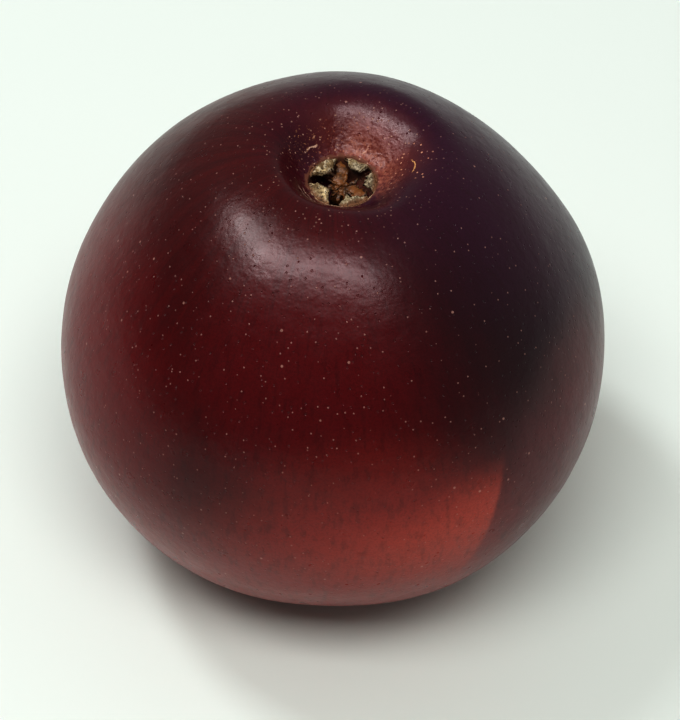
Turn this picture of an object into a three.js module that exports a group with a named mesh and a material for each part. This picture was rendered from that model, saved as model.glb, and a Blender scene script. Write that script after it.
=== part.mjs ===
import * as THREE from 'three';

// An apple standing on its stem end with the blossom end up.
// Millimetres, +Z up, resting on z = 0 with the middle of its bounding box over the origin.

// Whole fruit
const WIDTH = 75;
const HEIGHT = 65;
const WIDEST_Z = 30;
const AXIS_LEAN = 0.045;
const OVALITY = 0.018;
const OVALITY_DIRECTION = THREE.MathUtils.degToRad(135);
const RIB_COUNT = 5;
const RIB_DEPTH = 0.007;
const RIB_DIRECTION = THREE.MathUtils.degToRad(12);

// Stem end: a funnel closed by the flat ring the fruit stands on
const CAVITY_DEPTH = 14;
const STEM_SEAT_RADIUS = 2.6;
const REST_RING_INNER = 12.5;
const REST_RING_OUTER = 15.5;

// Blossom end: a shallow basin with a round eye in its floor
const CROWN_RADIUS = 11;
const BASIN_DEPTH = 4.2;
const EYE_RADIUS = 4.5;
const EYE_WALL_DEPTH = 2.8;
const EYE_DEPTH = 5.2;

// Dried blossom remains inside the eye
const SEPAL_ANGLES = [2, 57, 132, 214, 292];
const SEPAL_HALF_WIDTHS = [1.35, 1.6, 1.9, 1.9, 1.8];
const SEPAL_REACH = 2.0;
const SEPAL_THICKNESS = 0.9;
const SEPAL_TIP_LIFT = 0.7;
const TUFT_RADIUS = 1.2;
const TUFT_HEIGHT = 3.2;

// Woody stem inside the cavity, ending above the resting plane
const STEM_RADIUS = 1.3;
const STEM_LENGTH = 11;
const STEM_BEND = 1.6;

// Clearance between separate pieces, and mesh fineness
const GAP = 0.3;
const CURVE_STEPS = 9;
const FRUIT_SEGMENTS = 72;
const SMALL_SEGMENTS = 20;

const CROWN_Z = HEIGHT;
const RIM_Z = HEIGHT - BASIN_DEPTH;
const EYE_FLOOR_Z = RIM_Z - EYE_DEPTH;

// The outline of half the fruit, from the cavity floor round the outside to the eye floor.
function fruitOutline() {
  const path = new THREE.Path();
  path.moveTo(0, CAVITY_DEPTH);
  path.lineTo(STEM_SEAT_RADIUS, CAVITY_DEPTH);
  path.bezierCurveTo(STEM_SEAT_RADIUS + 2, CAVITY_DEPTH - 2, 6, 0, REST_RING_INNER, 0);
  path.lineTo(REST_RING_OUTER, 0);
  path.bezierCurveTo(25.5, 0, WIDTH / 2, 14, WIDTH / 2, WIDEST_Z);
  path.bezierCurveTo(WIDTH / 2, WIDEST_Z + 17, CROWN_RADIUS + 9, CROWN_Z, CROWN_RADIUS, CROWN_Z);
  path.bezierCurveTo(CROWN_RADIUS - 3, CROWN_Z, EYE_RADIUS + 2.2, RIM_Z + 0.5, EYE_RADIUS, RIM_Z);
  path.lineTo(EYE_RADIUS - 0.2, RIM_Z - EYE_WALL_DEPTH);
  path.quadraticCurveTo(2.5, EYE_FLOOR_Z, 0, EYE_FLOOR_Z);
  return path.getPoints(CURVE_STEPS);
}

// Moves a point of the round fruit to its slightly oval, ribbed and leaning place.
function unevenPoint(point) {
  const angle = Math.atan2(point.y, point.x);
  const oval = OVALITY * Math.cos(2 * (angle - OVALITY_DIRECTION));
  const ribs = RIB_DEPTH * Math.cos(RIB_COUNT * (angle - RIB_DIRECTION));
  const scale = 1 + oval + ribs;
  point.x = point.x * scale + AXIS_LEAN * (point.z - HEIGHT / 2);
  point.y *= scale;
  return point;
}

// Where the middle of the core lies at a height.
function coreCentre(z) {
  return new THREE.Vector3(AXIS_LEAN * (z - HEIGHT / 2), 0, z);
}

function reshape(geometry, move) {
  const position = geometry.attributes.position;
  const point = new THREE.Vector3();
  for (let i = 0; i < position.count; i += 1) {
    move(point.fromBufferAttribute(position, i));
    position.setXYZ(i, point.x, point.y, point.z);
  }
  geometry.computeVertexNormals();
  return geometry;
}

function material(color, roughness) {
  return new THREE.MeshStandardMaterial({ color, roughness, metalness: 0 });
}

function piece(name, geometry, surface) {
  const mesh = new THREE.Mesh(geometry, surface);
  mesh.name = name;
  return mesh;
}

// Flesh and skin, grown as one body.
function makeFruit() {
  const geometry = new THREE.LatheGeometry(fruitOutline(), FRUIT_SEGMENTS);
  geometry.rotateX(Math.PI / 2);
  return piece('fruit', reshape(geometry, unevenPoint), material(0x4a1016, 0.32));
}

// A dried sepal stub lying across the eye, its base at the wall and its blunt tip lifted.
function makeSepal(index) {
  const base = EYE_RADIUS - 0.2 - 2 * GAP;
  const middle = (base + SEPAL_REACH) / 2;
  const halfWidth = SEPAL_HALF_WIDTHS[index];
  const corner = Math.sqrt(base ** 2 - halfWidth ** 2);
  const outline = new THREE.Shape();
  outline.moveTo(corner, -halfWidth);
  outline.quadraticCurveTo(2 * base - corner, 0, corner, halfWidth);
  outline.quadraticCurveTo(middle, 0.7 * halfWidth, SEPAL_REACH, 0.45);
  outline.quadraticCurveTo(SEPAL_REACH - 0.2, 0, SEPAL_REACH, -0.45);
  outline.quadraticCurveTo(middle, -0.7 * halfWidth, corner, -halfWidth);
  const geometry = new THREE.ExtrudeGeometry(outline, {
    depth: SEPAL_THICKNESS,
    bevelEnabled: false,
    curveSegments: 5,
    steps: 1,
  });
  const lift = (point) => {
    const inward = (base - point.x) / (base - SEPAL_REACH);
    point.z += SEPAL_TIP_LIFT * Math.max(inward, 0) ** 2;
  };
  const mesh = piece(`sepal_${index + 1}`, reshape(geometry, lift), material(0x8a7a52, 0.85));
  mesh.position.copy(coreCentre(RIM_Z - 1.5));
  mesh.rotation.z = THREE.MathUtils.degToRad(SEPAL_ANGLES[index]);
  return mesh;
}

// The shrivelled tuft of stamens and style in the middle of the eye.
function makeTuft() {
  const profile = new THREE.Path();
  profile.moveTo(0, 0);
  profile.lineTo(TUFT_RADIUS, 0);
  profile.quadraticCurveTo(0.7 * TUFT_RADIUS, TUFT_HEIGHT / 2, 0.6 * TUFT_RADIUS, 0.85 * TUFT_HEIGHT);
  profile.quadraticCurveTo(0.5 * TUFT_RADIUS, TUFT_HEIGHT, 0, TUFT_HEIGHT);
  const geometry = new THREE.LatheGeometry(profile.getPoints(4), SMALL_SEGMENTS);
  geometry.rotateX(Math.PI / 2);
  const mesh = piece('stamen_tuft', geometry, material(0x6a4420, 0.8));
  mesh.position.copy(coreCentre(EYE_FLOOR_Z + 2 * GAP));
  return mesh;
}

// The stem hangs in its cavity: a knob where it was picked, thicker where it joins the core.
function makeStem() {
  const profile = new THREE.Path();
  profile.moveTo(0, 0);
  profile.bezierCurveTo(STEM_RADIUS + 1, 0, STEM_RADIUS + 0.7, 1.2, STEM_RADIUS, 2.6);
  profile.lineTo(STEM_RADIUS, STEM_LENGTH - 2.5);
  profile.quadraticCurveTo(STEM_RADIUS, STEM_LENGTH - 0.6, STEM_RADIUS + 0.4, STEM_LENGTH);
  profile.lineTo(0, STEM_LENGTH);
  const geometry = new THREE.LatheGeometry(profile.getPoints(5), SMALL_SEGMENTS);
  geometry.rotateX(Math.PI / 2);
  const bend = (point) => {
    point.y += STEM_BEND * (1 - point.z / STEM_LENGTH) ** 2;
  };
  const mesh = piece('stem', reshape(geometry, bend), material(0x4b3524, 0.75));
  mesh.position.copy(coreCentre(CAVITY_DEPTH - GAP - STEM_LENGTH));
  return mesh;
}

const apple = new THREE.Group();
apple.add(makeFruit(), makeStem(), makeTuft());
SEPAL_ANGLES.forEach((angle, index) => apple.add(makeSepal(index)));

const box = new THREE.Box3().setFromObject(apple);
apple.position.set(-(box.min.x + box.max.x) / 2, -(box.min.y + box.max.y) / 2, -box.min.z);

export default apple;
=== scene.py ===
import math

import bpy
from mathutils import Matrix, Vector, noise


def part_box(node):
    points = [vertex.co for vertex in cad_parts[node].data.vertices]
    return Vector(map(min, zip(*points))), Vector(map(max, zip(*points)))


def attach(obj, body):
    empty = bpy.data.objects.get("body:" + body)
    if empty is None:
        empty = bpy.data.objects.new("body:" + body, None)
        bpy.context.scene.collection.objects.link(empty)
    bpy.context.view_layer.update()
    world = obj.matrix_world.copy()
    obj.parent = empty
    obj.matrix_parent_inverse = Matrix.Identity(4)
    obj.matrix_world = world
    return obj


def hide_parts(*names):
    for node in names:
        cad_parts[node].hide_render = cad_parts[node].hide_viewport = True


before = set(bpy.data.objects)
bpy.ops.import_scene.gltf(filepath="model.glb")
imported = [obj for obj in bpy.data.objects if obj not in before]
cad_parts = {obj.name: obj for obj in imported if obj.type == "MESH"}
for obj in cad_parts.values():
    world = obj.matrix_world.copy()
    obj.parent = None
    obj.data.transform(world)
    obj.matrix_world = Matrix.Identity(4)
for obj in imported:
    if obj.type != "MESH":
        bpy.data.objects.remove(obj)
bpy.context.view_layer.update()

# ---------------------------------------------------------------------------
# The fruit: flesh and skin grown as one body, a little oval, ribbed and leaning.
# Its skin is smooth and waxy, dark maroon with a redder shaded side, and it
# turns to thin cork at the lip of the blossom eye and in the stem cavity.
# ---------------------------------------------------------------------------

MM = 0.001
fruit_low, fruit_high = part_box("fruit")
fruit_middle = (fruit_low + fruit_high) / 2
fruit_height = fruit_high.z - fruit_low.z
widest_z = 30 * MM
crown_z = fruit_height
rim_z = crown_z - 4.2 * MM
eye_floor_z = rim_z - 5.2 * MM
core_lean = 0.045


def millimetre_curve(start, first_handle, second_handle, end, steps):
    """Points of one outline curve, given in millimetres, without its last point."""
    corners = [Vector(p) * MM for p in (start, first_handle, second_handle, end)]
    points = []
    for i in range(steps):
        t = i / steps
        s = 1 - t
        weights = (s ** 3, 3 * s * s * t, 3 * s * t * t, t ** 3)
        points.append(sum((w * c for w, c in zip(weights, corners)), Vector((0, 0))))
    return points


def fruit_outline():
    """Radius and height from the cavity floor round the outside to the eye floor."""
    top = crown_z / MM
    rim = rim_z / MM
    return (
        millimetre_curve((0.05, 14), (1.2, 14), (2.2, 14), (3.2, 13.0), 8)
        + millimetre_curve((3.2, 13.0), (5.6, 10.6), (7, 0), (12.5, 0), 26)
        + millimetre_curve((12.5, 0), (13.5, 0), (14.5, 0), (15.5, 0), 5)
        + millimetre_curve((15.5, 0), (25.5, 0), (37.5, 14), (37.5, 30), 56)
        + millimetre_curve((37.5, 30), (37.5, 47), (20, top), (11, top), 64)
        + millimetre_curve((11, top), (8, top), (6.4, rim + 0.5), (4.75, rim + 0.06), 52)
        + millimetre_curve((4.75, rim + 0.06), (4.6, rim), (4.5, rim), (4.4, rim - 0.25), 8)
        + millimetre_curve((4.4, rim - 0.25), (4.3, rim - 2.2), (3.4, rim - 5.2), (0.05, rim - 5.2), 20)
        + [Vector((0.05, rim - 5.2)) * MM]
    )


def facing(azimuth, elevation):
    """The direction from the core's middle, by compass angle and height."""
    a, e = math.radians(azimuth), math.radians(elevation)
    return Vector((math.cos(a) * math.cos(e), math.sin(a) * math.cos(e), math.sin(e)))


def bump_at(value, centre, spread):
    """A smooth hump of height 1 at the centre."""
    return math.exp(-(((value - centre) / spread) ** 2))


def turn_between(angle, degrees):
    """How far an angle is from a direction, in degrees, the short way round."""
    return (math.degrees(angle) - degrees + 180) % 360 - 180


# Furrows that run down the basin wall: direction, width in degrees, depth in millimetres
basin_furrows = ((94, 24, 0.42), (24, 16, 0.35), (150, 20, 0.3), (232, 26, 0.25), (305, 22, 0.3))
# Swollen shoulders between them: direction, width in degrees, height in millimetres
crown_swellings = ((55, 30, 0.45), (118, 22, 0.3), (215, 38, 0.35), (340, 30, 0.2))
# Flats and bulges of the whole fruit: compass angle, height angle, width in
# degrees, rise in millimetres
fruit_bulges = (
    (176, 28, 22, -0.85),
    (6, 34, 26, -0.7),
    (-160, -6, 20, 0.6),
    (128, 48, 22, 0.45),
    (-36, -8, 18, 0.35),
)


def skin_relief(spot, radius, angle, on_top):
    """How far the skin stands out from the plain outline at a spot, in metres."""
    rest_fade = min(1.0, max(0.0, spot.z / (6 * MM)))
    lumps = noise.noise(spot / (17 * MM)) * 0.32 + noise.noise(spot / (6 * MM)) * 0.035
    relief = lumps * rest_fade
    look = (spot - Vector((0, 0, fruit_height / 2))).normalized()
    for azimuth, elevation, width, rise in fruit_bulges:
        alike = look.dot(facing(azimuth, elevation))
        apart = math.degrees(math.acos(max(-1.0, min(1.0, alike))))
        relief += rise * rest_fade * bump_at(apart, 0, width)
    if on_top and radius < 20 * MM:
        wall = bump_at(radius, 7.6 * MM, 3.0 * MM)
        shoulder = bump_at(radius, 11.5 * MM, 4.5 * MM)
        for direction, width, depth in basin_furrows:
            relief -= depth * wall * bump_at(turn_between(angle, direction), 0, width)
        for direction, width, height in crown_swellings:
            relief += height * shoulder * bump_at(turn_between(angle, direction), 0, width)
        near_eye = bump_at(radius, 5.4 * MM, 1.6 * MM)
        round_place = Vector((math.cos(angle) * 9, math.sin(angle) * 9, radius / (2.5 * MM)))
        puckers = noise.noise(round_place)
        relief += 0.06 * near_eye * puckers
        relief += 0.05 * near_eye * noise.noise(spot / (0.45 * MM))
    return relief * MM


def uneven_place(radius, angle, height):
    """Where a point of the plain round outline lies on the real, uneven fruit."""
    oval = 0.018 * math.cos(2 * (angle - math.radians(135)))
    ribs = 0.007 * math.cos(5 * (angle - math.radians(12)))
    reach = radius * (1 + oval + ribs)
    if height > widest_z and radius < 6 * MM:
        lip_fade = bump_at(radius, 4.5 * MM, 0.8 * MM)
        # The lip of the eye wavers in and out: height, waves round it, seed
        for swing, waves, seed in ((0.22, 1.8, 3), (0.10, 7, 8)):
            round_place = Vector((math.cos(angle) * waves, math.sin(angle) * waves, seed))
            reach += swing * MM * lip_fade * noise.noise(round_place)
    if height > widest_z:
        crown_push = math.cos(angle - math.radians(28)) * bump_at(radius, 11.5 * MM, 4.5 * MM)
        reach += 1.0 * MM * crown_push
    lean = core_lean * (height - fruit_height / 2)
    return Vector((reach * math.cos(angle) + lean, reach * math.sin(angle), height))


def fruit_mesh():
    outline = fruit_outline()
    turns = 288
    verts = []
    for i, (radius, height) in enumerate(outline):
        before = outline[max(i - 1, 0)]
        after = outline[min(i + 1, len(outline) - 1)]
        along = (after - before).normalized()
        outward, upward = along.y, -along.x
        on_top = height > widest_z and i > 90
        inside_eye = on_top and radius < 4.42 * MM
        for j in range(turns):
            angle = 2 * math.pi * j / turns
            plain = Vector((radius * math.cos(angle), radius * math.sin(angle), height))
            relief = 0 if inside_eye else skin_relief(plain, radius, angle, on_top)
            spot = uneven_place(radius + outward * relief, angle, height + upward * relief)
            spot.z = max(spot.z, 0.0)
            verts.append(spot)
    faces = []
    for i in range(len(outline) - 1):
        for j in range(turns):
            k = (j + 1) % turns
            faces.append((i * turns + j, i * turns + k, (i + 1) * turns + k, (i + 1) * turns + j))
    last = (len(outline) - 1) * turns
    faces += [tuple(reversed(range(turns))), tuple(range(last, last + turns))]
    mesh = bpy.data.meshes.new("fruit_skin")
    mesh.from_pydata(verts, [], faces)
    mesh.update()
    return mesh


def add_piece(name, mesh, material, node):
    """Puts a finished piece on the model in place of its plain solid."""
    piece = bpy.data.objects.new(name, mesh)
    bpy.context.scene.collection.objects.link(piece)
    mesh.materials.append(material)
    mesh.polygons.foreach_set("use_smooth", [True] * len(mesh.polygons))
    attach(piece, "root")
    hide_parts(node)
    return piece


class Finish:
    """A material being built: one shader and the nodes that colour and roughen it."""

    def __init__(self, name):
        self.material = bpy.data.materials.new(name)
        self.material.use_nodes = True
        self.nodes = self.material.node_tree.nodes
        self.links = self.material.node_tree.links
        self.shader = self.nodes["Principled BSDF"]
        self.place = self.nodes.new("ShaderNodeTexCoord").outputs["Object"]

    def put(self, socket, value):
        """Links an output to a socket, or sets the socket to a number or colour."""
        if isinstance(value, bpy.types.NodeSocket):
            self.links.new(value, socket)
        else:
            socket.default_value = value

    def maths(self, operation, first, second=0.0):
        node = self.nodes.new("ShaderNodeMath")
        node.operation = operation
        self.put(node.inputs[0], first)
        self.put(node.inputs[1], second)
        return node.outputs[0]

    def vector(self, operation, first, second):
        node = self.nodes.new("ShaderNodeVectorMath")
        node.operation = operation
        self.put(node.inputs[0], first)
        self.put(node.inputs[1], second)
        return node.outputs["Value" if operation in ("DOT_PRODUCT", "DISTANCE") else "Vector"]

    def ramp(self, value, low, high, smooth=True):
        """0 below low and 1 above high; low may be the larger, which turns it round."""
        node = self.nodes.new("ShaderNodeMapRange")
        node.interpolation_type = "SMOOTHSTEP" if smooth else "LINEAR"
        self.put(node.inputs["Value"], value)
        self.put(node.inputs["From Min"], low)
        self.put(node.inputs["From Max"], high)
        return node.outputs["Result"]

    def clouds(self, size, detail=3.0, place=None, rough=0.55):
        """Soft noise between 0 and 1 whose patches are about the size given, in metres."""
        node = self.nodes.new("ShaderNodeTexNoise")
        self.put(node.inputs["Vector"], place or self.place)
        node.inputs["Scale"].default_value = 1 / size
        node.inputs["Detail"].default_value = detail
        node.inputs["Roughness"].default_value = rough
        return node.outputs["Fac"]

    def blend(self, amount, under, over):
        node = self.nodes.new("ShaderNodeMix")
        node.data_type = "RGBA"
        self.put(node.inputs["Factor"], amount)
        self.put(node.inputs["A"], under)
        self.put(node.inputs["B"], over)
        return node.outputs["Result"]

    def raised(self, height, distance, strength=1.0, under=None):
        """Surface relief from a height, with another relief under it."""
        node = self.nodes.new("ShaderNodeBump")
        node.inputs["Strength"].default_value = strength
        node.inputs["Distance"].default_value = distance
        self.put(node.inputs["Height"], height)
        if under:
            self.put(node.inputs["Normal"], under)
        return node.outputs["Normal"]


def paint(red, green, blue):
    """A colour given as it looks, 0 to 255, turned into light amounts."""
    light = [((c / 255 + 0.055) / 1.055) ** 2.4 if c > 10 else c / 3295 for c in (red, green, blue)]
    return (*light, 1.0)


def dots(finish, spacing, size, chance):
    """A mask of small round spots: a jittered point in some of the cells of the skin."""
    cell = finish.nodes.new("ShaderNodeTexVoronoi")
    cell.feature = "F1"
    finish.put(cell.inputs["Vector"], finish.place)
    cell.inputs["Scale"].default_value = 1 / spacing
    pick = finish.nodes.new("ShaderNodeSeparateColor")
    finish.put(pick.inputs[0], cell.outputs["Color"])
    near = finish.ramp(cell.outputs["Distance"], size / spacing, 0.45 * size / spacing)
    kept = finish.maths("LESS_THAN", pick.outputs[0], chance)
    return finish.maths("MULTIPLY", near, kept)


def skin_finish():
    skin = Finish("waxy_skin")
    middle = Vector((0, 0, fruit_height / 2))
    from_middle = skin.vector("SUBTRACT", skin.place, middle)
    direction = skin.vector("NORMALIZE", from_middle, (0, 0, 0))
    eye = Vector((core_lean * (rim_z - fruit_height / 2), 0, rim_z))
    from_eye = skin.vector("DISTANCE", skin.place, eye)
    stem_end = Vector((core_lean * -fruit_height / 2, 0, 10 * MM))
    from_stem = skin.vector("DISTANCE", skin.place, stem_end)
    cloud = skin.clouds(9 * MM, 4)
    warp = skin.maths("MULTIPLY", skin.maths("SUBTRACT", cloud, 0.5), 0.22)

    def side(azimuth, elevation, inner, outer, cloudy=0.5):
        """A mask over the part of the skin that faces a direction, with a cloudy edge."""
        towards = skin.vector("DOT_PRODUCT", direction, facing(azimuth, elevation))
        uneven = skin.maths("ADD", towards, skin.maths("MULTIPLY", warp, cloudy))
        return skin.ramp(uneven, math.cos(math.radians(outer)), math.cos(math.radians(inner)))

    # Streaks run from one end of the fruit to the other, so they are squeezed round the
    # core and stretched along it
    split = skin.nodes.new("ShaderNodeSeparateXYZ")
    skin.put(split.inputs[0], from_middle)
    flat = skin.nodes.new("ShaderNodeCombineXYZ")
    skin.put(flat.inputs[0], split.outputs[0])
    skin.put(flat.inputs[1], split.outputs[1])
    around = skin.vector("NORMALIZE", flat.outputs[0], (0, 0, 0))
    climb = skin.nodes.new("ShaderNodeCombineXYZ")
    skin.put(climb.inputs[2], skin.maths("MULTIPLY", split.outputs[2], 9.0))
    streak_place = skin.vector("ADD", around, climb.outputs[0])
    fine_streaks = skin.clouds(0.022, 4, streak_place)
    broad_streaks = skin.clouds(0.09, 3, streak_place)

    to_degrees = 180 / math.pi
    turned = skin.maths("ARCTAN2", split.outputs[1], split.outputs[0])
    compass = skin.maths("MULTIPLY", turned, to_degrees)
    height = skin.nodes.new("ShaderNodeSeparateXYZ")
    skin.put(height.inputs[0], direction)
    climbed = skin.maths("ARCSINE", height.outputs[2])
    climb_angle = skin.maths("MULTIPLY", climbed, to_degrees)
    cloud_angle = skin.maths("MULTIPLY", skin.maths("SUBTRACT", cloud, 0.5), 8)

    streaked = skin.ramp(broad_streaks, 0.35, 0.7)
    colour = skin.blend(streaked, paint(70, 6, 10), paint(80, 9, 12))
    colour = skin.blend(side(-97, 38, 4, 34), colour, paint(92, 15, 20))
    # A brighter red left side: partly the skin's own red, partly painted light where the lamps leave that
    # side dim
    colour = skin.blend(side(-172, -2, 10, 56), colour, paint(112, 3, 12))
    # The belly turns from maroon to a brighter red lower down, most of all in front
    low = skin.ramp(skin.maths("ADD", climb_angle, cloud_angle), 12, -30)
    colour = skin.blend(low, colour, paint(142, 50, 44))
    colour = skin.blend(side(-82, -14, 6, 44, 0.3), colour, paint(140, 44, 38))
    # A dark purple cheek, and a dusty purple shoulder behind it; the blue in both is partly a painted bluish
    # sheen
    colour = skin.blend(side(-14, 32, 12, 55), colour, paint(34, 2, 15))
    colour = skin.blend(side(30, 50, 15, 60), colour, paint(56, 16, 42))
    colour = skin.blend(side(-26, -10, 14, 40), colour, paint(98, 42, 46))
    # A paler orange-red patch: soft on one side, a clean slanting edge on the other
    slanted = skin.maths("ADD", skin.maths("MULTIPLY", climb_angle, -0.3), 57.5)
    edge = skin.maths("ADD", compass, slanted)
    patch = skin.ramp(edge, 1.0, -0.6)
    patch = skin.maths("MULTIPLY", patch, skin.ramp(edge, -48, -6))
    slope = skin.maths("ADD", climb_angle, skin.maths("MULTIPLY", edge, -0.12))
    patch_top = skin.ramp(skin.maths("ADD", slope, cloud_angle), 15, 1)
    patch = skin.maths("MULTIPLY", patch, patch_top)
    patch = skin.maths("MULTIPLY", patch, skin.ramp(climb_angle, -23, -3))
    colour = skin.blend(skin.maths("MULTIPLY", patch, 0.9), colour, paint(180, 70, 54))

    dark_streaks = skin.maths("MULTIPLY", skin.ramp(fine_streaks, 0.48, 0.72), 0.3)
    colour = skin.blend(dark_streaks, colour, paint(42, 3, 8))
    mottling = skin.ramp(skin.clouds(0.28 * MM, 2), 0.42, 0.66)
    colour = skin.blend(skin.maths("MULTIPLY", mottling, 0.2), colour, paint(30, 0, 6))
    # The far wall of the basin is paler, flecked with golden russet and small scars, with a painted highlight
    # along its ridge
    off_eye = skin.vector("SUBTRACT", skin.place, eye)
    way_off = skin.vector("NORMALIZE", off_eye, (0, 0, 0))

    def beside_eye(azimuth, inner, outer):
        """A mask over the skin that lies one way from the eye."""
        towards = skin.vector("DOT_PRODUCT", way_off, facing(azimuth, 12))
        return skin.ramp(towards, math.cos(math.radians(outer)), math.cos(math.radians(inner)))

    def band(value, low, high, soft):
        """A mask between two values."""
        rise = skin.ramp(value, low - soft, low)
        return skin.maths("MULTIPLY", rise, skin.ramp(value, high + soft, high))

    unsteady = skin.maths("SUBTRACT", skin.clouds(1.1 * MM, 3), 0.5)
    wobble = skin.maths("MULTIPLY", unsteady, 1.6 * MM)
    ring = skin.maths("ADD", from_eye, wobble)
    basin = skin.maths("MULTIPLY", skin.ramp(ring, 14 * MM, 7 * MM), beside_eye(52, 20, 88))
    colour = skin.blend(skin.maths("MULTIPLY", basin, 0.9), colour, paint(112, 46, 40))
    grain = skin.ramp(skin.clouds(0.5 * MM, 3, None, 0.7), 0.3, 0.7)
    warm_rim = skin.maths("MULTIPLY", skin.ramp(ring, 9.5 * MM, 5.2 * MM), beside_eye(30, 35, 80))
    warm_grain = skin.maths("MULTIPLY", warm_rim, skin.maths("MULTIPLY", grain, 0.8))
    colour = skin.blend(warm_grain, colour, paint(168, 104, 84))
    # A painted lilac highlight along the ridge of the far basin wall, standing in for the shine of the light
    # there
    painted_ridge_highlight = skin.maths("MULTIPLY", band(ring, 7.9 * MM, 8.6 * MM, 1.3 * MM), beside_eye(46, 10, 38))
    painted_highlight_grain = skin.maths("MULTIPLY", painted_ridge_highlight, skin.maths("MULTIPLY", grain, 0.7))
    colour = skin.blend(painted_highlight_grain, colour, paint(158, 110, 112))
    furrow = skin.maths("MULTIPLY", band(ring, 5.5 * MM, 9 * MM, 1.5 * MM), beside_eye(95, 3, 17))
    colour = skin.blend(skin.maths("MULTIPLY", furrow, 0.6), colour, paint(84, 18, 20))
    flecks = skin.ramp(skin.clouds(0.30 * MM, 4), 0.58, 0.72)
    walls = band(ring, 4.8 * MM, 8.2 * MM, 1.2 * MM)
    warm_walls = skin.maths("MULTIPLY", walls, beside_eye(100, 30, 75))
    colour = skin.blend(skin.maths("MULTIPLY", flecks, warm_walls), colour, paint(168, 104, 76))
    corner = band(ring, 6.4 * MM, 8.6 * MM, 0.8 * MM)
    russet_corner = skin.maths("MULTIPLY", corner, beside_eye(128, 8, 18))
    colour = skin.blend(skin.maths("MULTIPLY", flecks, russet_corner), colour, paint(178, 132, 96))

    def scar(across_eye, back, bend, direction, opening, tint):
        """A thin corky crack: part of a small circle about a point by the eye, in millimetres."""
        centre = eye + Vector((across_eye, back, 2.5)) * MM
        away = skin.vector("SUBTRACT", skin.place, centre)
        level = skin.vector("MULTIPLY", away, (1, 1, 0))
        length = skin.vector("DISTANCE", level, (0, 0, 0))
        wavy = skin.maths("ADD", length, skin.maths("MULTIPLY", wobble, 0.5))
        heading = skin.vector("NORMALIZE", level, (0, 0, 0))
        towards = skin.vector("DOT_PRODUCT", heading, facing(direction, 0))
        arc_end = math.cos(math.radians(opening))
        arc = skin.ramp(towards, arc_end, math.cos(math.radians(opening * 0.6)))
        line = band(wavy, (bend - 0.05) * MM, (bend + 0.05) * MM, 0.07 * MM)
        line = skin.maths("MULTIPLY", line, skin.ramp(grain, 0.1, 0.5))
        return skin.blend(skin.maths("MULTIPLY", line, arc), colour, tint)

    for across_eye, back, bend, direction, opening, tint in (
        (6.6, -0.4, 2.6, 0, 34, paint(208, 158, 104)),
        (0.0, 0.0, 6.3, 130, 11, paint(206, 170, 150)),
        (2.2, 5.6, 1.3, -40, 34, paint(184, 132, 116)),
        (0.0, 0.0, 5.35, 226, 30, paint(190, 158, 142)),
        (0.0, 0.0, 5.95, 216, 18, paint(176, 142, 130)),
        (0.0, 0.0, 5.5, 268, 10, paint(184, 146, 130)),
    ):
        colour = scar(across_eye, back, bend, direction, opening, tint)

    cork_edge = skin.ramp(ring, 4.95 * MM, 4.6 * MM)
    colour = skin.blend(skin.maths("MULTIPLY", cork_edge, 0.85), colour, paint(112, 70, 52))
    lip = band(from_eye, 4.48 * MM, 4.6 * MM, 0.08 * MM)
    lip = skin.maths("MULTIPLY", lip, beside_eye(272, 40, 80))
    lip = skin.maths("MULTIPLY", lip, skin.ramp(skin.clouds(0.7 * MM, 3), 0.35, 0.6))
    colour = skin.blend(skin.maths("MULTIPLY", lip, 0.8), colour, paint(206, 182, 150))
    throat = skin.ramp(from_eye, 4.42 * MM, 3.9 * MM)
    colour = skin.blend(throat, colour, paint(58, 36, 24))
    uneven = skin.maths("ADD", from_stem, skin.maths("MULTIPLY", warp, 0.05))
    russet = skin.ramp(uneven, 15 * MM, 9 * MM)
    colour = skin.blend(russet, colour, paint(132, 104, 60))

    pale = paint(186, 142, 130)
    small = dots(skin, 1.15 * MM, 0.15 * MM, 0.85)
    colour = skin.blend(skin.maths("MULTIPLY", small, 0.45), colour, pale)
    large = dots(skin, 3.4 * MM, 0.24 * MM, 0.8)
    colour = skin.blend(skin.maths("MULTIPLY", large, 0.6), colour, pale)
    crowded_zone = skin.ramp(from_eye, 17 * MM, 6 * MM)
    golden_ring = band(from_eye, 7.5 * MM, 11.5 * MM, 1.5 * MM)
    golden_zone = skin.maths("MULTIPLY", golden_ring, beside_eye(4, 12, 34))
    golden = skin.maths("MULTIPLY", dots(skin, 0.8 * MM, 0.19 * MM, 0.6), golden_zone)
    colour = skin.blend(skin.maths("MULTIPLY", golden, 0.85), colour, paint(206, 142, 112))
    crowded = skin.maths("MULTIPLY", dots(skin, 0.8 * MM, 0.15 * MM, 0.9), crowded_zone)
    colour = skin.blend(skin.maths("MULTIPLY", crowded, 0.7), colour, paint(200, 160, 140))

    skin.put(skin.shader.inputs["Base Color"], colour)
    wax = skin.clouds(2.5 * MM, 2)
    rough = skin.maths("ADD", skin.maths("MULTIPLY", wax, 0.14), 0.23)
    rough = skin.maths("ADD", rough, skin.maths("MULTIPLY", cork_edge, 0.35))
    pits = skin.maths("ADD", small, crowded)
    rough = skin.maths("ADD", rough, skin.maths("MULTIPLY", pits, 0.3))
    grainy_basin = skin.maths("MULTIPLY", basin, grain)
    rough = skin.maths("ADD", rough, skin.maths("MULTIPLY", grainy_basin, 0.16))
    skin.put(skin.shader.inputs["Roughness"], rough)
    skin.shader.inputs["IOR"].default_value = 1.45
    skin.shader.inputs["Specular IOR Level"].default_value = 0.42
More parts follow.
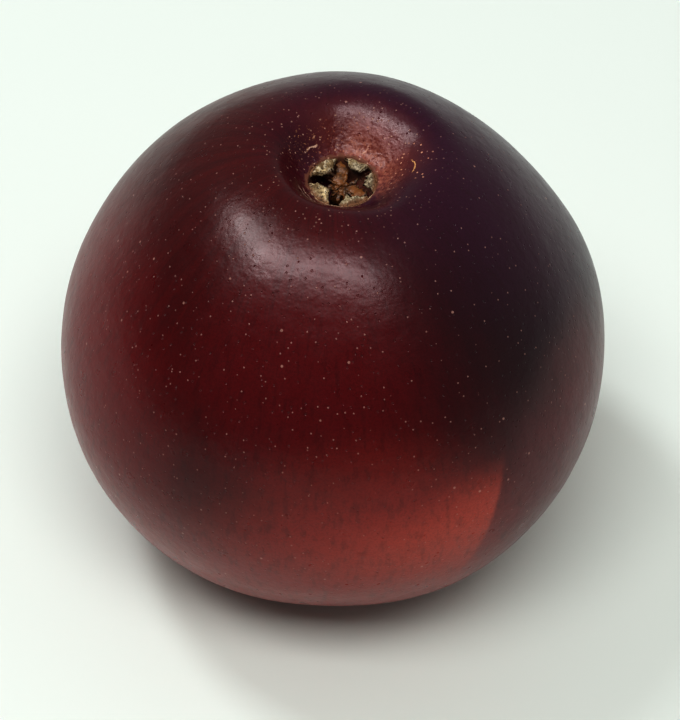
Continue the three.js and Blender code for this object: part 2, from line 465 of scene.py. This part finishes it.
    # Fine relief in the wax, from broad ripples down to open pores
    relief = skin.raised(skin.clouds(1.8 * MM, 2), 0.08 * MM, 0.8)
    relief = skin.raised(skin.clouds(0.35 * MM, 1), 0.02 * MM, 0.5, relief)
    crinkles = skin.maths("MULTIPLY", skin.clouds(0.7 * MM, 2), basin)
    relief = skin.raised(crinkles, 0.10 * MM, 0.8, relief)
    relief = skin.raised(pits, 0.05 * MM, 0.6, relief)
    pores = skin.maths("SUBTRACT", 1.0, dots(skin, 1.0 * MM, 0.17 * MM, 0.85))
    relief = skin.raised(pores, 0.07 * MM, 1.0, relief)
    skin.put(skin.shader.inputs["Normal"], relief)
    return skin.material


add_piece("fruit_skin", fruit_mesh(), skin_finish(), "fruit")


# ---------------------------------------------------------------------------
# The sepals: five dried flower leaves, grown from the edge of the eye. Only their
# corky stubs are left, lying inward over the eye with cream, grey and brown patches.
# ---------------------------------------------------------------------------

eye_centre = Vector((core_lean * (rim_z - fruit_height / 2), 0, rim_z))


def sepal_finish():
    cork = Finish("dry_cork")
    broad = cork.clouds(1.5 * MM, 3)
    fine = cork.clouds(0.35 * MM, 4)
    colour = cork.blend(cork.ramp(broad, 0.36, 0.66), paint(112, 90, 62), paint(208, 186, 146))
    off_centre = cork.vector("SUBTRACT", cork.place, eye_centre)
    greyer = cork.vector("DOT_PRODUCT", off_centre, facing(-20, 0))
    greyer = cork.ramp(greyer, -0.4 * MM, 1.2 * MM)
    colour = cork.blend(cork.maths("MULTIPLY", greyer, 0.6), colour, paint(112, 104, 88))
    flakes = cork.maths("MULTIPLY", cork.ramp(cork.clouds(0.6 * MM, 4), 0.50, 0.62), 0.65)
    colour = cork.blend(flakes, colour, paint(222, 208, 182))
    outer = cork.vector("DISTANCE", cork.place, eye_centre)
    colour = cork.blend(cork.ramp(outer, 3.7 * MM, 4.4 * MM), colour, paint(128, 92, 66))
    colour = cork.blend(cork.ramp(outer, 2.9 * MM, 2.2 * MM), colour, paint(74, 52, 34))
    specks = cork.maths("MULTIPLY", cork.ramp(fine, 0.48, 0.36), 0.75)
    colour = cork.blend(specks, colour, paint(44, 32, 22))
    cork.put(cork.shader.inputs["Base Color"], colour)
    rough = cork.maths("ADD", cork.maths("MULTIPLY", fine, 0.2), 0.7)
    cork.put(cork.shader.inputs["Roughness"], rough)
    cork.shader.inputs["Specular IOR Level"].default_value = 0.3
    cork.put(cork.shader.inputs["Normal"], cork.raised(fine, 0.12 * MM, 0.9))
    return cork.material


def sheet_solid(name, top, bottom, rows, columns):
    """A closed mesh from matching grids of points for its upper and lower faces."""
    count = rows * columns
    faces = []
    for i in range(rows - 1):
        for j in range(columns - 1):
            a, b = i * columns + j, i * columns + j + 1
            c, d = b + columns, a + columns
            faces += [(a, b, c, d), (count + d, count + c, count + b, count + a)]
    rim = list(range(columns))
    rim += [i * columns + columns - 1 for i in range(1, rows)]
    rim += [(rows - 1) * columns + j for j in range(columns - 2, -1, -1)]
    rim += [i * columns for i in range(rows - 2, 0, -1)]
    for here, there in zip(rim, rim[1:] + rim[:1]):
        faces.append((there, here, count + here, count + there))
    mesh = bpy.data.meshes.new(name)
    mesh.from_pydata(top + bottom, [], faces)
    mesh.update()
    return mesh


def sepal_mesh(name, direction, half_angle, reach, lift, seed):
    """A stub that narrows from the edge of the eye to a ragged tip."""
    rows, columns = 34, 30
    base = 4.5 * MM
    top, bottom = [], []
    for i in range(rows):
        inward = i / (rows - 1)
        for j in range(columns):
            sideways = 2 * j / (columns - 1) - 1
            ragged = noise.noise(Vector((sideways * 2.6, seed, 0))) * 0.8
            ragged += noise.noise(Vector((sideways * 8, seed, 4))) * 0.5
            tip = (reach + ragged + 0.7 * sideways * sideways) * MM
            radius = base + (tip - base) * inward
            flank = noise.noise(Vector((inward * 3, seed, sideways))) * 0.25
            narrowing = 1 - 0.42 * inward ** 1.4 + flank * inward
            angle = math.radians(direction + half_angle * sideways * narrowing)
            spot = eye_centre + Vector((radius * math.cos(angle), radius * math.sin(angle), 0))
            crust = noise.noise(spot / (0.9 * MM)) * 0.45 + noise.noise(spot / (0.3 * MM)) * 0.24
            hump = 0.30 * math.sin(math.pi * min(1.0, inward * 1.25)) + lift * inward ** 2
            edge = 0.30 * abs(sideways) ** 5 + 0.22 * inward ** 8
            settle = min(1.0, inward * 6)
            spot.z += (-0.12 + (hump + crust) * settle - edge) * MM
            top.append(spot)
            thickness = (0.95 - 0.55 * inward) * (1 - 0.5 * abs(sideways) ** 4)
            bottom.append(spot - Vector((0, 0, thickness * MM)))
    return sheet_solid(name, top, bottom, rows, columns)


cork = sepal_finish()
# Direction and half width in degrees, tip from the middle and lift of the tip in millimetres
sepals = (
    (2, 26, 2.9, 0.45),
    (57, 29, 2.6, 0.4),
    (132, 35, 2.2, 0.3),
    (214, 33, 2.1, 0.1),
    (292, 30, 2.4, 0.0),
)
for number, (direction, half_angle, reach, lift) in enumerate(sepals, start=1):
    stub = sepal_mesh(f"sepal_stub_{number}", direction, half_angle, reach, lift, number * 7.3)
    add_piece(f"sepal_stub_{number}", stub, cork, f"sepal_{number}")


# ---------------------------------------------------------------------------
# The stamens: withered threads and scraps round the stump of the style, grown from
# the floor of the eye. They are brown, dry and papery.
# ---------------------------------------------------------------------------


def withered_finish():
    dry = Finish("withered_stamens")
    fine = dry.clouds(0.3 * MM, 4)
    broad = dry.ramp(dry.clouds(1.3 * MM, 2), 0.4, 0.62)
    colour = dry.blend(broad, paint(64, 38, 18), paint(124, 76, 34))
    colour = dry.blend(dry.ramp(fine, 0.56, 0.72), colour, paint(142, 106, 68))
    dry.put(dry.shader.inputs["Base Color"], colour)
    rough = dry.maths("ADD", dry.maths("MULTIPLY", fine, 0.3), 0.35)
    dry.put(dry.shader.inputs["Roughness"], rough)
    dry.put(dry.shader.inputs["Normal"], dry.raised(fine, 0.08 * MM, 0.8))
    return dry.material


class Heap:
    """Closed shapes gathered into one mesh."""

    def __init__(self):
        self.verts, self.faces = [], []

    def add(self, verts, faces):
        first = len(self.verts)
        self.verts += verts
        self.faces += [tuple(first + i for i in face) for face in faces]

    def thread(self, path, widths, flatness, sides=8):
        """A tapering thread along a path, squashed to a strip by its flatness."""
        verts, faces = [], []
        for i, spot in enumerate(path):
            ahead = path[min(i + 1, len(path) - 1)] - path[max(i - 1, 0)]
            across_path = ahead.cross(Vector((0, 0, 1))).normalized()
            above = across_path.cross(ahead).normalized()
            for j in range(sides):
                a = 2 * math.pi * j / sides
                sideways = across_path * math.cos(a) * widths[i]
                verts.append(spot + sideways + above * math.sin(a) * widths[i] * flatness)
        for i in range(len(path) - 1):
            for j in range(sides):
                k = (j + 1) % sides
                faces.append((i * sides + j, i * sides + k, (i + 1) * sides + k, (i + 1) * sides + j))
        last = (len(path) - 1) * sides
        faces += [tuple(reversed(range(sides))), tuple(range(last, last + sides))]
        self.add(verts, faces)

    def mesh(self, name):
        made = bpy.data.meshes.new(name)
        made.from_pydata(self.verts, [], self.faces)
        made.update()
        return made


def tuft_mesh():
    """The folded stump of the style, with scraps lying out from it like spokes."""
    heap = Heap()
    rings, turns = 16, 40
    verts, faces = [], []
    for i in range(rings):
        out = 0.04 + 1.42 * (1 - i / (rings - 1))
        for j in range(turns):
            a = 2 * math.pi * j / turns
            folds = 1 + 0.16 * math.cos(5 * a + 0.6)
            spot = Vector((out * folds * math.cos(a), out * folds * math.sin(a), 0)) * MM
            crinkle = noise.noise(spot / (0.5 * MM) + Vector((3, 1, 0))) * 0.4
            rise = -1.35 + crinkle * min(1, i / 3) + 0.25 * math.cos(5 * a) * out
            spot.z = (rise - 2.6 * max(0, out - 1.0) ** 1.5) * MM
            verts.append(eye_centre + spot)
    for i in range(rings - 1):
        for j in range(turns):
            k = (j + 1) % turns
            faces.append((i * turns + j, i * turns + k, (i + 1) * turns + k, (i + 1) * turns + j))
    last = (rings - 1) * turns
    faces.append(tuple(range(last, last + turns)))
    base = len(verts)
    for j in range(turns):
        verts.append(Vector((verts[j].x, verts[j].y, eye_floor_z + 0.1 * MM)))
    for j in range(turns):
        k = (j + 1) % turns
        faces.append((base + j, base + k, k, j))
    faces.append(tuple(base + j for j in reversed(range(turns))))
    heap.add(verts, faces)
    # Direction, width, length out from the middle, and how high the outer end stands
    scraps = ((97, 0.85, 3.7, -0.40), (334, 0.80, 3.5, -0.70), (176, 0.30, 2.2, -1.2), (260, 0.34, 2.5, -1.1))
    scraps += ((30, 0.28, 2.4, -0.9), (120, 0.26, 2.5, -0.7), (306, 0.24, 2.4, -0.9), (72, 0.24, 2.6, -0.7))
    scraps += ((205, 0.20, 2.0, -0.8), (232, 0.15, 2.1, -1.0), (0, 0.16, 2.2, -0.8), (148, 0.14, 2.0, -0.8))
    for number, (direction, width, length, end_height) in enumerate(scraps):
        path, widths = [], []
        for i in range(13):
            t = i / 12
            angle = math.radians(direction) + 0.25 * noise.noise(Vector((t * 2, number, 0)))
            out = (0.4 + (length - 0.4) * t) * MM
            droop = -1.25 + (end_height + 1.25) * t ** 1.3 + 0.45 * noise.noise(Vector((t * 4, number, 5)))
            path.append(eye_centre + Vector((out * math.cos(angle), out * math.sin(angle), droop * MM)))
            ragged = 1 + 0.7 * noise.noise(Vector((t * 5, number, 9)))
            widths.append(width * ragged * (0.6 + 0.4 * math.sin(math.pi * t)) * MM)
        heap.thread(path, widths, 0.3 if width > 0.3 else 0.7)
    return heap.mesh("withered_tuft")


add_piece("withered_tuft", tuft_mesh(), withered_finish(), "stamen_tuft")


# ---------------------------------------------------------------------------
# The stem: a short woody stalk in the cavity under the fruit, grown from the core
# and snapped off the tree at its knobbed end, which stops short of the table.
# ---------------------------------------------------------------------------

stem_low, stem_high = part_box("stem")


def stem_finish():
    bark = Finish("stem_bark")
    split = bark.nodes.new("ShaderNodeSeparateXYZ")
    bark.put(split.inputs[0], bark.place)
    squeezed = bark.nodes.new("ShaderNodeCombineXYZ")
    bark.put(squeezed.inputs[0], split.outputs[0])
    bark.put(squeezed.inputs[1], split.outputs[1])
    bark.put(squeezed.inputs[2], bark.maths("MULTIPLY", split.outputs[2], 0.2))
    grain = bark.clouds(0.35 * MM, 4, squeezed.outputs[0])
    colour = bark.blend(bark.ramp(grain, 0.35, 0.68), paint(66, 44, 30), paint(134, 104, 70))
    colour = bark.blend(dots(bark, 0.9 * MM, 0.2 * MM, 0.6), colour, paint(176, 150, 110))
    bark.put(bark.shader.inputs["Base Color"], colour)
    rough = bark.maths("ADD", bark.maths("MULTIPLY", grain, 0.2), 0.6)
    bark.put(bark.shader.inputs["Roughness"], rough)
    bark.put(bark.shader.inputs["Normal"], bark.raised(grain, 0.1 * MM, 0.8))
    return bark.material


def stem_mesh():
    rows, turns = 60, 32
    rooted = 0.7 * MM
    length = stem_high.z + rooted - stem_low.z
    top = Vector((core_lean * (13 * MM - fruit_height / 2), 0, stem_high.z + rooted))
    verts, faces = [], []
    for i in range(rows):
        up = i / (rows - 1)
        knob = 0.75 * bump_at(up, 0.06, 0.13) + 0.35 * bump_at(up, 1.0, 0.12)
        close = min(1.0, (up * 14 + 0.15)) ** 0.5
        for j in range(turns):
            a = 2 * math.pi * j / turns
            round_place = Vector((math.cos(a) * 1.4, math.sin(a) * 1.4, up * 6))
            ridges = 0.07 * math.cos(5 * a + up * 1.5) + 0.12 * noise.noise(round_place)
            radius = (1.2 + knob + ridges) * close * MM
            bend = 1.6 * (1 - up) ** 2 * MM
            off_top = (radius * math.cos(a), radius * math.sin(a) + bend, (up - 1) * length)
            verts.append(top + Vector(off_top))
    for i in range(rows - 1):
        for j in range(turns):
            k = (j + 1) % turns
            faces.append((i * turns + j, i * turns + k, (i + 1) * turns + k, (i + 1) * turns + j))
    last = (rows - 1) * turns
    faces += [tuple(reversed(range(turns))), tuple(range(last, last + turns))]
    mesh = bpy.data.meshes.new("stem_stalk")
    mesh.from_pydata(verts, [], faces)
    mesh.update()
    return mesh


add_piece("stem_stalk", stem_mesh(), stem_finish(), "stem")


# ---------------------------------------------------------------------------
# The table top the fruit stands on, painted and pale, with the soft light and the
# pale room round it, and the camera that looks down at it from in front.
# ---------------------------------------------------------------------------

table = bpy.data.meshes.new("table_top")
reach = 3.0
corners = [(-reach, -reach, 0), (reach, -reach, 0), (reach, reach, 0), (-reach, reach, 0)]
table.from_pydata(corners, [], [(0, 1, 2, 3)])
table_top = bpy.data.objects.new("table_top", table)
bpy.context.scene.collection.objects.link(table_top)
painted = Finish("table_paint_and_shade")
# The paint is pale round the fruit; far off on the left the table is greyer, a painted shade for the dark
# room there
far_left = painted.vector("DOT_PRODUCT", painted.place, (-0.9, 0.35, 0))
near_paint = painted.blend(painted.clouds(0.06, 2), (0.77, 0.815, 0.785, 1), (0.78, 0.825, 0.795, 1))
table_paint_and_shade = painted.blend(painted.ramp(far_left, 0.12, 0.7), near_paint, (0.2, 0.2, 0.2, 1))
painted.put(painted.shader.inputs["Base Color"], table_paint_and_shade)
painted.shader.inputs["Roughness"].default_value = 0.55
table.materials.append(painted.material)


def window_light(name, power, width, height, azimuth, elevation, level, tint):
    """A soft rectangular light facing the fruit, its width lying along a level direction."""
    lamp = bpy.data.lights.new(name, "AREA")
    lamp.shape = "RECTANGLE"
    lamp.size = width
    lamp.size_y = height
    lamp.energy = power
    lamp.color = tint
    holder = bpy.data.objects.new(name, lamp)
    away = facing(azimuth, elevation)
    rise = away.cross(facing(level, 0)).normalized()
    side = rise.cross(away)
    holder.matrix_world = Matrix((side, rise, away)).transposed().to_4x4()
    holder.location = fruit_middle + away * 1.1
    bpy.context.scene.collection.objects.link(holder)
    return holder


# Two lights fall on the fruit and the table, and two show only as a shine on the wax
window = window_light("window", 4.2, 0.20, 0.28, 142, 58, 52, (0.96, 1.0, 1.0))
fill = window_light("fill", 10.0, 1.0, 0.4, -97, 70, -5, (1.0, 0.985, 0.955))
for lamp in (window, fill):
    lamp.visible_glossy = False
ceiling_shine = window_light("ceiling_shine", 9.6, 1.0, 0.20, -124, 69, -18, (1.0, 0.97, 0.99))
window_shine = window_light("window_shine", 6.6, 0.62, 0.17, 172, 53, -60, (1.0, 0.97, 0.97))
for lamp in (ceiling_shine, window_shine):
    lamp.visible_diffuse = False

# The room is pale near the table and behind it, and dark overhead and behind the viewer
room = bpy.data.worlds.new("room")
room.use_nodes = True
room_nodes = room.node_tree.nodes
room_links = room.node_tree.links
look_direction = room_nodes.new("ShaderNodeTexCoord").outputs["Generated"]


def room_fade(toward, low, high, low_strength, high_strength):
    """How bright the room is from one side to the other."""
    across_room = room_nodes.new("ShaderNodeVectorMath")
    across_room.operation = "DOT_PRODUCT"
    across_room.inputs[1].default_value = toward
    room_links.new(look_direction, across_room.inputs[0])
    fade = room_nodes.new("ShaderNodeMapRange")
    fade.interpolation_type = "SMOOTHSTEP"
    fade.inputs["From Min"].default_value = low
    fade.inputs["From Max"].default_value = high
    fade.inputs["To Min"].default_value = low_strength
    fade.inputs["To Max"].default_value = high_strength
    room_links.new(across_room.outputs["Value"], fade.inputs["Value"])
    return fade.outputs["Result"]


room_light = room_nodes.new("ShaderNodeMath")
room_light.operation = "MULTIPLY"
room_links.new(room_fade((0, 0, 1), 0.0, 0.8, 0.5, 0.45), room_light.inputs[0])
room_links.new(room_fade(facing(50, 0), -0.7, 0.5, 0.25, 1.0), room_light.inputs[1])
room_nodes["Background"].inputs["Color"].default_value = (0.95, 1.0, 0.96, 1)
room_links.new(room_light.outputs[0], room_nodes["Background"].inputs["Strength"])
bpy.context.scene.world = room
bpy.context.scene.view_settings.view_transform = "Standard"
bpy.context.scene.view_settings.gamma = 0.75

camera_data = bpy.data.cameras.new("camera")
camera_data.lens = 120
camera_data.sensor_width = 36
camera = bpy.data.objects.new("camera", camera_data)
view_height = 48
towards_camera = facing(-90, view_height)
camera_distance = 330 * MM
camera.location = fruit_middle + towards_camera * camera_distance
across = Vector((1, 0, 0))
up_the_view = towards_camera.cross(across)
aim = fruit_middle + across * 1.0 * MM - up_the_view * 4.4 * MM
camera.rotation_euler = (camera.location - aim).to_track_quat("Z", "Y").to_euler()
bpy.context.scene.collection.objects.link(camera)
bpy.context.scene.camera = camera
